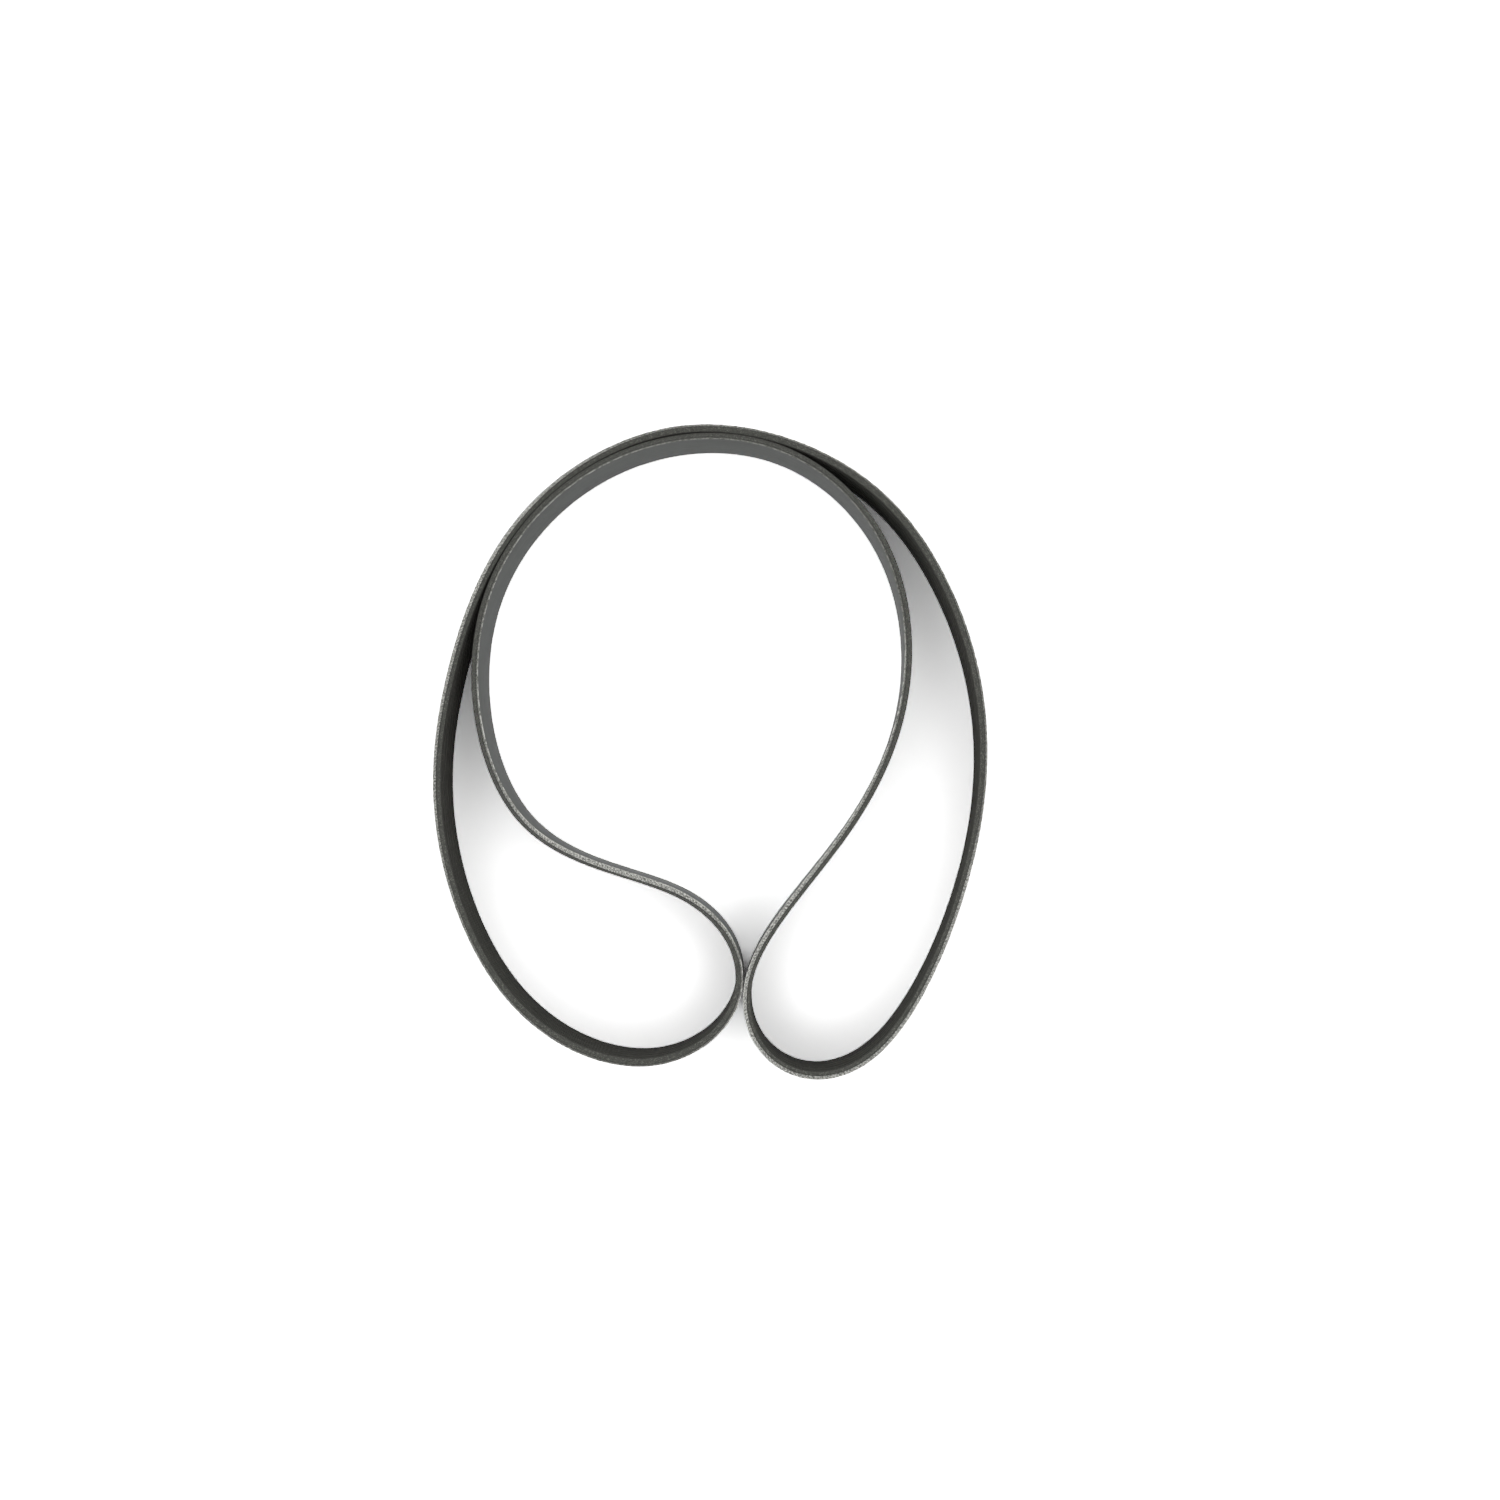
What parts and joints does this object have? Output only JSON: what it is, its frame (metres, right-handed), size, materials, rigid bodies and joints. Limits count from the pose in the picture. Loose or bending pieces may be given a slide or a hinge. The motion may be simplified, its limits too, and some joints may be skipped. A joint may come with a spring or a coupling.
{
  "type": "multi-rib drive belt",
  "caption": "Endless multi-rib rubber drive belt, standing on its cut edge, with its loop pushed in to form a nested ring between two rounded lobes.",
  "frame": {"origin": "on the floor under the middle of the loop's outline, at the lower cut edge", "axes": "+Z up, from the lower cut edge to the upper one; +Y from the two lobes to the crown of the nested ring; +X to the right as seen from above with +Y up"},
  "size_m": [0.3218, 0.3794, 0.0214],
  "materials": {
    "rubber": "moulded rubber, matt, with a fine fabric grain on the back and a sawn, fibre-flecked cut edge"
  },
  "bodies": {
    "root": {"ribbed_belt": "rubber"}
  },
  "joints": []
}
